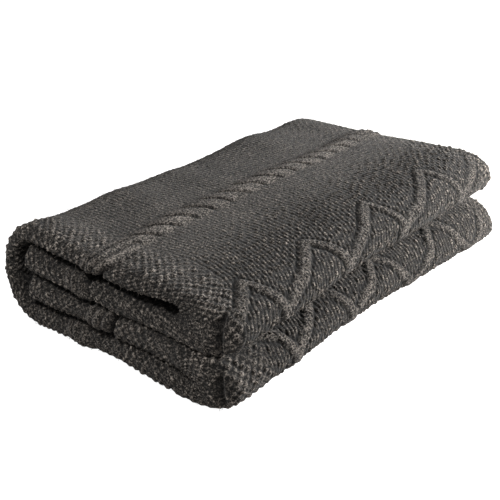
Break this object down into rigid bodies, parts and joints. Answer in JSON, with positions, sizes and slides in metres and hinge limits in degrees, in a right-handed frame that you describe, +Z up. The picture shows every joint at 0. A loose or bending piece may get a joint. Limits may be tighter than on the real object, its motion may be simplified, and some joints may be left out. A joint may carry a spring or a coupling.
{
  "type": "folded cable-knit blanket",
  "caption": "Chunky cable-knit throw blanket, doubled and folded into a soft pile, with a twisted cable down the middle and zigzag rope cables over both folds.",
  "frame": {"origin": "on the surface that the folded blanket rests on, under the middle of its bounding box", "axes": "+X along the folds, from the doubled cloth's nose to its open knitted ends; +Y from the two folds to the loose wrap; +Z up"},
  "size_m": [0.6446, 0.4264, 0.1514],
  "materials": {
    "yarn": "charcoal heather wool, matt, slightly hairy"
  },
  "bodies": {
    "root": {"blanket": "yarn"}
  },
  "joints": []
}
